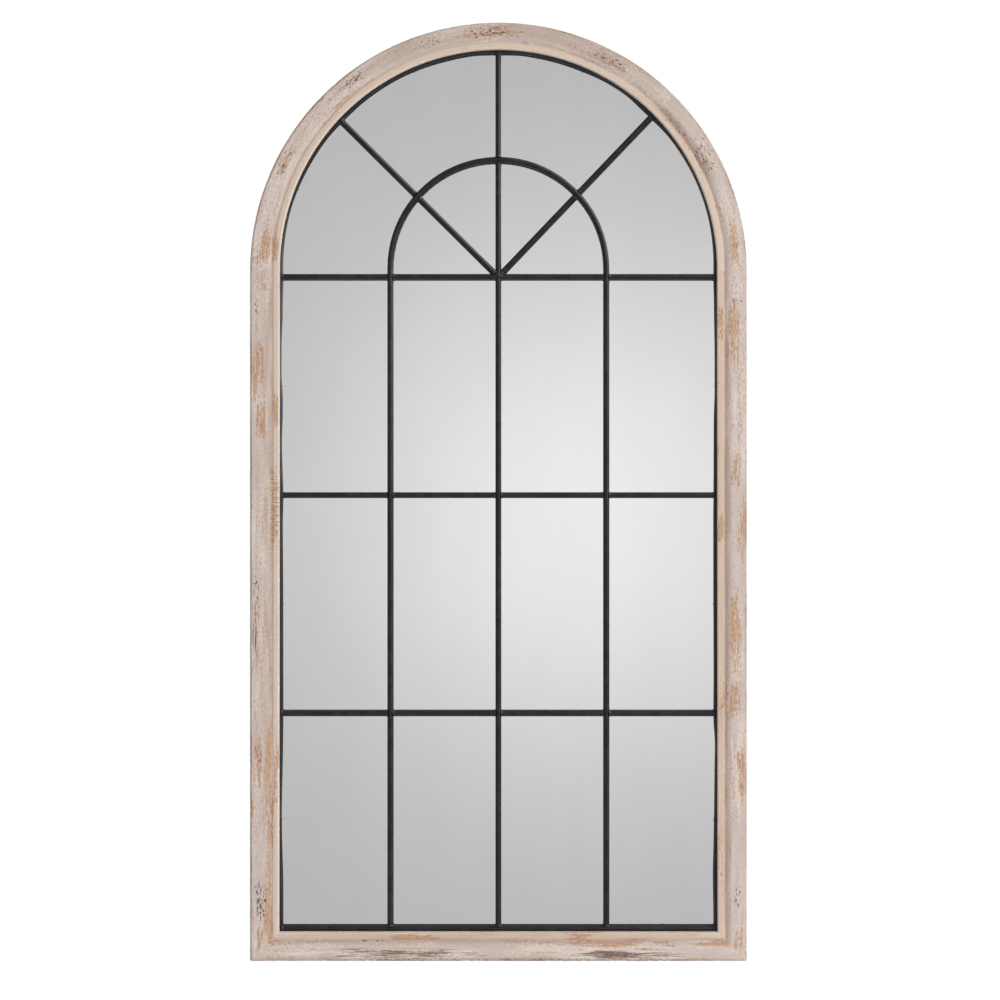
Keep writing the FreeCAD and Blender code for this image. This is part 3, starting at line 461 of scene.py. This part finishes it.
# the rail's two mitres mirror each other, so along runs from one to the other
rows = int(2 * HALF_WIDTH / STEP)
out = np.broadcast_to(OWN + SHARE * FACE, (rows, len(OWN)))
along = np.linspace(-1, 1, rows)[:, None] * (HALF_WIDTH - out)
moulded("bottom_rail_wood", along, out, lambda a, o, y: np.stack([a, y, FOOT + o], -1),
        11, "bottom_rail", ["bottom_rail"])

segment = math.pi / 4 * HALF_WIDTH       # outer length of each of the arch's four segments
rows = int(segment / STEP)
for index, name in enumerate(
        ("arch_left_lower", "arch_left_upper", "arch_right_upper", "arch_right_lower")):
    along = np.broadcast_to(np.linspace(index, index + 1, rows)[:, None] * segment,
                            (rows, len(OWN)))
    out = OWN + SHARE * arch_face(math.pi - along / HALF_WIDTH)
    moulded(f"{name}_wood", along, out,
            lambda a, o, y: np.stack([-(HALF_WIDTH - o) * np.cos(a / HALF_WIDTH), y,
                                      SPRINGING + (HALF_WIDTH - o) * np.sin(a / HALF_WIDTH)], -1),
            20 + index, "arch", [name])

# ------------------------------------------------------------------------ joint dowels
# Fluted beech pegs glued into the joints, out of sight once the frame is together.


def beech():
    """Pale beech with a fine straight fleck."""
    material, tree, surface = finish_of("beech", 0.6)
    spot = add(tree, "ShaderNodeTexCoord").outputs["Object"]
    fleck = cloud(tree, spot, (900, 900, 300))
    tree.links.new(coat(tree, rises(tree, fleck, 0.4, 0.65), tint(206, 176, 138),
                        tint(176, 140, 100)), surface.inputs["Base Color"])
    relief(tree, surface, fleck, 0.0002, 0.5)
    return material


def dress(node, material):
    """Gives a CAD piece its finish."""
    slots = pieces[node].data.materials
    if slots:
        for index in range(len(slots)):
            slots[index] = material
    else:
        slots.append(material)


dress("joint_dowels", beech())

# ------------------------------------------------------------------------ iron grille
# Nine and a half millimetre round bar, bent and welded by hand and painted satin black: a hoop
# along the sight edge, a foot rod, an inner arch, a centre bar, transoms and spokes.


def black_iron(name, shade):
    """Satin black paint on hot-rolled bar, a little cloudy, with faint bumps and rubs."""
    material, tree, surface = finish_of(name, None)
    spot = add(tree, "ShaderNodeTexCoord").outputs["Object"]
    haze = cloud(tree, spot, (60, 60, 60), 3.0)
    grit = cloud(tree, spot, (900, 900, 900), 3.0)
    paint = coat(tree, rises(tree, haze, 0.4, 0.62), shade, tint(31, 29, 31))
    paint = coat(tree, sums(tree, "MULTIPLY", rises(tree, grit, 0.6, 0.7), 0.4), paint,
                 tint(66, 58, 52))
    tree.links.new(paint, surface.inputs["Base Color"])
    tree.links.new(sums(tree, "MULTIPLY_ADD", haze, 0.2, 0.27), surface.inputs["Roughness"])
    surface.inputs["Specular IOR Level"].default_value = 0.36
    surface.inputs["Specular Tint"].default_value = tint(240, 240, 255)
    relief(tree, surface, sums(tree, "MULTIPLY_ADD", grit, 0.3, haze), 0.0004, 0.5)
    return material


BLACK_IRON = black_iron("black_iron", tint(19, 18, 20))
for node in pieces:
    if node.startswith(("grille_", "transom_", "spoke_", "centre_bar")):
        dress(node, BLACK_IRON)

# The hoop isn't straight: between its welds it bows out behind the sight edge. Heights above
# the foot and outward shifts of its left and right sides, and for the arch the same by
# length along it from its right end, in mm.
ROD_RADIUS = (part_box("centre_bar")[1].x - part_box("centre_bar")[0].x) / 2
HOOP_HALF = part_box("grille_hoop")[1].x - ROD_RADIUS
HOOP_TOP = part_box("grille_hoop")[1].z - ROD_RADIUS - HOOP_HALF
HOOP_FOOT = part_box("grille_hoop")[0].z
HOOP_INSET = 0.5 * MM                    # how much tighter it stands than the sight edge asks
ROD_PLANE = (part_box("centre_bar")[0].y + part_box("centre_bar")[1].y) / 2
BOWED = {
    "left": ((44, 0), (110, 0), (140, 0.5), (190, 2.1), (235, 2.7), (285, 1.6), (335, 0.6),
             (380, 0), (408, 0), (580, 0.2), (640, 0.5), (705, 1.0), (732, 0), (757, 0),
             (780, 1.1), (810, 2.1), (840, 2.3), (875, 0.9), (905, 0.8), (937, 3.1), (970, 2.9),
             (1000, 2.6), (1035, 0.9), (1062, 1.0), (1080, 0), (1112, 0)),
    "right": ((44, 0), (75, 0), (105, -0.6), (140, -1.0), (170, 0), (235, 1.1), (300, 1.8),
              (350, 2.6), (380, 0), (408, 0), (450, 0.4), (520, 0.2), (585, -0.1), (710, -0.2),
              (777, 0.3), (840, 0.5), (873, 0.7), (905, 2.0), (970, 2.0), (1000, 1.7),
              (1035, 1.0), (1062, 1.0), (1080, 0), (1112, 0)),
    "arch": ((0, 0), (50, 1.3), (125, 3.1), (195, 2.8), (240, 2.0), (268, 0), (300, 0),
             (325, 2.6), (350, 3.1), (415, 0.6), (490, 0.5), (520, 1.2), (538, 0), (567, 0),
             (590, 1.2), (635, 0.1), (710, 0.9), (785, 0.6), (815, 0), (845, 0), (870, 1.2),
             (930, 1.1), (1005, 2.1), (1105, 0)),
}


def bow(side, place):
    """The side's outward shift at a place: the table's points joined, and its corners eased
    by averaging over the 24 mm around."""
    places, shifts = np.array(BOWED[side]).T * MM
    near = place[:, None] + np.linspace(-12, 12, 9) * MM
    return np.interp(near, places, shifts).mean(1)


def tube(name, centres, outward, radius, sides=24):
    """A rod: a circle of that radius, in the plane of outward and depth, carried along its
    centre line."""
    turn = np.linspace(0, 2 * math.pi, sides, endpoint=False)
    points = (centres[:, None, :] + radius * np.cos(turn)[None, :, None] * outward[:, None, :]
              + radius * np.sin(turn)[None, :, None] * np.array([0, 1, 0]))
    return skin(name, [points])


def hoop_line(travel):
    """The hoop's centre line at distances along it from its left foot: up the left side, round
    the arch and down the right side, each moved outward by its bow. Returns x, y and z in
    metres."""
    rise = HOOP_TOP - HOOP_FOOT
    curve = math.pi * HOOP_HALF
    up = np.clip(travel, 0, rise)
    down = np.clip(2 * rise + curve - travel, 0, rise)
    turn = np.clip((travel - rise) / HOOP_HALF, 0, math.pi)
    above = HOOP_FOOT - FOOT
    shift = np.where(travel < rise, bow("left", up + above),
                     np.where(travel > rise + curve, bow("right", down + above),
                              bow("arch", (math.pi - turn) * HOOP_HALF)))
    reach = HOOP_HALF - HOOP_INSET + shift
    height = HOOP_FOOT + np.minimum(up, down) + reach * np.sin(turn)
    return np.stack([-reach * np.cos(turn), np.full(len(travel), ROD_PLANE), height], -1)


def square_to(centres):
    """Unit vectors square to a line of points in the grille's plane: (z, 0, -x) of its heading,
    which point out from the middle on a line that runs clockwise."""
    heading = np.gradient(centres, axis=0)
    heading /= np.linalg.norm(heading, axis=1)[:, None]
    return np.stack([-heading[:, 2], np.zeros(len(centres)), heading[:, 0]], -1)


HOOP_RUN = 2 * (HOOP_TOP - HOOP_FOOT) + math.pi * HOOP_HALF
HOOP_STEP = 6 * MM                       # between two cross sections of the hoop
hoop_centres = hoop_line(np.linspace(0, HOOP_RUN, int(HOOP_RUN / HOOP_STEP)))
hoop = tube("grille_hoop_rod", hoop_centres, square_to(hoop_centres), ROD_RADIUS)
hoop.data.materials.append(BLACK_IRON)
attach(hoop, "mirror")
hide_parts("grille_hoop")

# Weld beads round the rod ends, under the same paint but browner.
dress("weld_beads", black_iron("painted_weld", tint(44, 38, 36)))

# ------------------------------------------------------------------------ ring staples
# Square steel wire bent round the outline rods and driven outwards into the frame behind its
# lip: one in the middle of each bay of both sides, four round the arch and two at the foot.
FOOT_ROD = (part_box("grille_foot")[0].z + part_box("grille_foot")[1].z) / 2
RAIL_HEIGHTS = [FOOT_ROD] + [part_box(f"transom_{level}_left_outer")[0].z + ROD_RADIUS
                             for level in ("bottom", "middle", "top")]
STAPLE_ANGLES = (22, 67, 113, 158)
STAPLE_REACH = 13.5 * MM                 # from the rod's middle to the staple's points
STAPLE_WIRE = 1 * MM
STAPLE_BEND = ROD_RADIUS + 0.7 * MM      # radius of the wire's middle round the rod
LEG_ROWS = 4                             # cross sections along each leg


def staple_wires():
    """One grid per staple: a square carried along a leg, (-r sin, -r cos) of half a turn round
    the rod's inner side, and the other leg. Places on the hoop are distances along it from
    its left foot, and outward is square to the hoop there."""
    rise = HOOP_TOP - HOOP_FOOT
    bays = [(low + high) / 2 - HOOP_FOOT for low, high in zip(RAIL_HEIGHTS, RAIL_HEIGHTS[1:])]
    ring = [rise + math.radians(180 - a) * HOOP_HALF for a in STAPLE_ANGLES]
    travel = np.array(bays + ring + [HOOP_RUN - bay for bay in bays])
    step = 1 * MM
    middles = hoop_line(travel)
    forward = hoop_line(travel + step) - hoop_line(travel - step)
    forward /= np.linalg.norm(forward, axis=1)[:, None]
    outward = np.stack([-forward[:, 2], forward[:, 1], forward[:, 0]], -1)
    leg = (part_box("grille_arch")[1].x + HOOP_HALF) / 2
    middles = np.vstack([middles, [[side * leg, ROD_PLANE, FOOT_ROD] for side in (-1, 1)]])
    forward = np.vstack([forward, [[1, 0, 0]] * 2])
    outward = np.vstack([outward, [[0, 0, -1]] * 2])

    turn = np.linspace(0, math.pi, 15)
    legs = np.linspace(STAPLE_REACH, 0, LEG_ROWS, endpoint=False)
    none, full = np.zeros(LEG_ROWS), np.ones(LEG_ROWS)
    away_out = np.concatenate([none, -np.sin(turn), none])
    away_deep = np.concatenate([-full, -np.cos(turn), full])
    out = np.concatenate([legs, -STAPLE_BEND * np.sin(turn), legs[::-1]])
    deep = STAPLE_BEND * away_deep
    half = STAPLE_WIRE / 2
    grids = []
    for middle, ahead, outwards in zip(middles, forward, outward):
        corners = [middle + (out + far * away_out)[:, None] * outwards
                   + (deep + far * away_deep)[:, None] * np.array([0, 1, 0]) + side * ahead
                   for far, side in ((-half, -half), (half, -half), (half, half), (-half, half))]
        grids.append(np.stack(corners, 1))
    return grids


def blackened_steel():
    """Dark oxide on steel wire."""
    material, tree, surface = finish_of("blackened_steel", 0.45, 0.6)
    spot = add(tree, "ShaderNodeTexCoord").outputs["Object"]
    rub = cloud(tree, spot, (700, 700, 700))
    tree.links.new(coat(tree, rises(tree, rub, 0.5, 0.75), tint(52, 49, 50), tint(92, 86, 82)),
                   surface.inputs["Base Color"])
    relief(tree, surface, rub, 0.0001, 0.4)
    return material


wires = skin("staple_wires", staple_wires())
wires.data.materials.append(blackened_steel())
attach(wires, "mirror")
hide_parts("ring_staples")

# ------------------------------------------------------------------------ mirror glass
# Four millimetre float glass, silvered behind, in one pane that fills the whole rebate.


def silvering():
    """A clear mirror: nearly all light comes back and almost none is scattered, with faint
    wiping marks and a trace of cloudiness."""
    material, tree, surface = finish_of("silvering", None, 1.0)
    spot = add(tree, "ShaderNodeTexCoord").outputs["Object"]
    wiped = cloud(tree, spot, (14, 14, 5), 3.0)
    tree.links.new(coat(tree, rises(tree, wiped, 0.3, 0.7), tint(244, 244, 244),
                        tint(242, 242, 242)), surface.inputs["Base Color"])
    tree.links.new(sums(tree, "MULTIPLY_ADD", wiped, 0.004, 0.01), surface.inputs["Roughness"])
    return material


dress("mirror_glass", silvering())

# ------------------------------------------------------------- packing sheet and back board
# A sheet of grey board that presses the glass forward, and a fibreboard back screwed over it.


def board(name, pale, dark, size):
    """Pressed fibres: short flecks in every direction, and slow cloudiness."""
    material, tree, surface = finish_of(name, 0.7)
    spot = add(tree, "ShaderNodeTexCoord").outputs["Object"]
    fleck = cloud(tree, spot, (size, size, size), 5.0, 0.65)
    slow = cloud(tree, spot, (9, 9, 9), 3.0)
    sheet = coat(tree, rises(tree, fleck, 0.35, 0.68), pale, dark)
    sheet = coat(tree, sums(tree, "MULTIPLY", rises(tree, slow, 0.35, 0.7), 0.35), sheet, dark)
    tree.links.new(sheet, surface.inputs["Base Color"])
    relief(tree, surface, fleck, 0.0002, 0.5)
    return material


dress("packing_sheet", board("grey_board", tint(168, 164, 156), tint(140, 136, 128), 500))
dress("back_board", board("fibreboard", tint(168, 138, 106), tint(138, 108, 80), 420))

# --------------------------------------------------- screws, hanging straps and hanging rings
# Zinc-plated steel: countersunk screws round the board, pan heads through the straps, and
# a D-shaped wire ring in each rolled eye, which swings up to meet its wall hook.


def zinc(name, shade, roughness):
    """Bright zinc plating with faint clouding and fine scratches."""
    material, tree, surface = finish_of(name, None, 1.0)
    spot = add(tree, "ShaderNodeTexCoord").outputs["Object"]
    clouding = cloud(tree, spot, (260, 260, 260), 3.0)
    scratch = cloud(tree, spot, (300, 2500, 2500), 2.0)
    tree.links.new(coat(tree, rises(tree, clouding, 0.35, 0.7), shade, tint(150, 150, 148)),
                   surface.inputs["Base Color"])
    tree.links.new(sums(tree, "MULTIPLY_ADD", clouding, 0.2, roughness),
                   surface.inputs["Roughness"])
    relief(tree, surface, scratch, 0.00005, 0.4)
    return material


for node, finish in (("back_board_screws", "zinc_screws"), ("hanger_screws", "zinc_pan_screws")):
    dress(node, zinc(finish, tint(198, 192, 172), 0.28))
ZINC_STEEL = zinc("zinc_steel", tint(196, 197, 198), 0.3)
for side in ("left", "right"):
    dress(f"hanger_strap_{side}", ZINC_STEEL)
    dress(f"hanger_ring_{side}", ZINC_STEEL)

# ------------------------------------------------------------------------------ wall pads
# Four black rubber discs stuck to the back board, which keep the mirror off the wall.


def rubber():
    """Black moulded rubber with a fine grain."""
    material, tree, surface = finish_of("pad_rubber", 0.75)
    spot = add(tree, "ShaderNodeTexCoord").outputs["Object"]
    grain = cloud(tree, spot, (1200, 1200, 1200))
    tree.links.new(coat(tree, rises(tree, grain, 0.4, 0.7), tint(44, 44, 45), tint(58, 57, 56)),
                   surface.inputs["Base Color"])
    relief(tree, surface, grain, 0.0002, 0.5)
    return material


dress("wall_pads", rubber())

# ------------------------------------------------------------------------- floor and light
# A pale studio floor below the mirror and a white surround. A soft key light stands in front on
# the right, level with the object, and a weaker one behind on the left. What the iron and the
# glass show is a surround brightest straight in front, with a tall soft box on the right.
FLOOR_DROP = 0.55                        # below the foot of the mirror
FLOOR_RADIUS = 1.75
FLOOR_SIDES = 96
FLOOR_GLOW = 0.26                        # added where the camera or a reflection looks at it


def studio_floor():
    """Pale paper, bright to the camera and the mirror but still shaded by what is over it."""
    material, tree, surface = finish_of("studio_paper", 0.9)
    surface.inputs["Base Color"].default_value = tint(236, 236, 236)
    surface.inputs["Specular IOR Level"].default_value = 0.0
    path = add(tree, "ShaderNodeLightPath")
    seen = sums(tree, "MAXIMUM", path.outputs["Is Camera Ray"], path.outputs["Is Glossy Ray"])
    surface.inputs["Emission Color"].default_value = (1, 1, 1, 1)
    tree.links.new(sums(tree, "MULTIPLY", seen, FLOOR_GLOW), surface.inputs["Emission Strength"])
    return material


turn = np.linspace(0, 2 * math.pi, FLOOR_SIDES, endpoint=False)
rim = np.stack([FLOOR_RADIUS * np.cos(turn), FLOOR_RADIUS * np.sin(turn),
                np.full(FLOOR_SIDES, FOOT - FLOOR_DROP)], -1)
paper = bpy.data.meshes.new("studio_floor")
paper.from_pydata(rim.tolist(), [], [list(range(FLOOR_SIDES))])
paper.materials.append(studio_floor())
floor = bpy.data.objects.new("studio_floor", paper)
bpy.context.scene.collection.objects.link(floor)

SKY_LIGHT = 0.58                         # strength of the sky on the object
GLOW_SIDE, GLOW_UP, GLOW_SPREAD = 0.0474, -0.0027, 0.152   # slopes of the view from the mirror
GLOW_BASE, GLOW_RISE = 0.505, 0.415      # reflected surround in front, and its brightest part
SIDE_GLOW = 0.48                         # reflected surround at the sides and behind
WINDOW_GLOW = 4.8                        # of a tall soft box on the right, above eye level

world = bpy.data.worlds.new("studio")
bpy.context.scene.world = world
world.use_nodes = True
sky = world.node_tree
sky.nodes.clear()
way = add(sky, "ShaderNodeTexCoord").outputs["Generated"]
apart = add(sky, "ShaderNodeSeparateXYZ", way)
ahead = sums(sky, "MAXIMUM", sums(sky, "MULTIPLY", apart.outputs[1], -1.0), 0.02)


def glow(tree, side, up, spread):
    """exp(-((slope across - side)^2 + (slope up - up)^2) / spread^2) of a direction in front."""
    aside = sums(tree, "SUBTRACT", sums(tree, "DIVIDE", apart.outputs[0], ahead), side)
    above = sums(tree, "SUBTRACT", sums(tree, "DIVIDE", apart.outputs[2], ahead), up)
    square = sums(tree, "MULTIPLY_ADD", above, above, sums(tree, "MULTIPLY", aside, aside))
    return sums(tree, "POWER", math.e, sums(tree, "DIVIDE", square, -spread * spread))


facing = rises(sky, ahead, 0.45, 0.9)
shown = sums(sky, "MULTIPLY_ADD", facing, GLOW_BASE - SIDE_GLOW, SIDE_GLOW)
shown = sums(sky, "MULTIPLY_ADD", glow(sky, GLOW_SIDE, GLOW_UP, GLOW_SPREAD), GLOW_RISE, shown)
window = sums(sky, "MULTIPLY", rises(sky, apart.outputs[0], 0.1, 0.55),
              rises(sky, apart.outputs[2], -0.02, 0.3))
shown = sums(sky, "MULTIPLY_ADD", window, WINDOW_GLOW, shown)
path = add(sky, "ShaderNodeLightPath")
level = add(sky, "ShaderNodeMix", path.outputs["Is Camera Ray"], None, SKY_LIGHT, 1.0)
mirrored = add(sky, "ShaderNodeMix", path.outputs["Is Glossy Ray"], None, level.outputs[0],
               shown)
surround = add(sky, "ShaderNodeBackground", (1, 1, 1, 1), mirrored.outputs[0])
output = sky.nodes.new("ShaderNodeOutputWorld")
sky.links.new(surround.outputs[0], output.inputs[0])


LAMP_SIZE = 2.4
KEY_PLACE, KEY_POWER = (4.0, -4.8, -0.4), 245      # metres and watts
BACK_PLACE, BACK_POWER = (-2.5, 5.5, 0.5), 150


def lamp(name, place, aim, power):
    """A square soft light at a place, turned to face a point."""
    light = bpy.data.lights.new(name, "AREA")
    light.size = LAMP_SIZE
    light.energy = power
    holder = bpy.data.objects.new(name, light)
    bpy.context.scene.collection.objects.link(holder)
    holder.location = place
    holder.rotation_euler = (aim - holder.location).to_track_quat("-Z", "Y").to_euler()
    holder.visible_glossy = False


middle = (cad_box[0] + cad_box[1]) / 2
lamp("key_light", KEY_PLACE, middle, KEY_POWER)
lamp("back_light", BACK_PLACE, middle, BACK_POWER)

# ---------------------------------------------------------------------------------- camera
# Level with the middle of the mirror and square to it, three metres in front.
CAMERA_DISTANCE = 3.0
VIEW_WIDTH = 1.597                       # metres across the picture at the mirror's front
ASIDE, BELOW = 0.0026, 0.0131            # the picture's middle from the mirror's
camera = bpy.data.objects.new("camera", bpy.data.cameras.new("camera"))
bpy.context.scene.collection.objects.link(camera)
camera.location = (middle.x + ASIDE, FRONT - CAMERA_DISTANCE, middle.z - BELOW)
camera.rotation_euler = (math.pi / 2, 0, 0)
camera.data.lens = camera.data.sensor_width * CAMERA_DISTANCE / VIEW_WIDTH
bpy.context.scene.camera = camera
bpy.context.scene.view_settings.view_transform = "Standard"
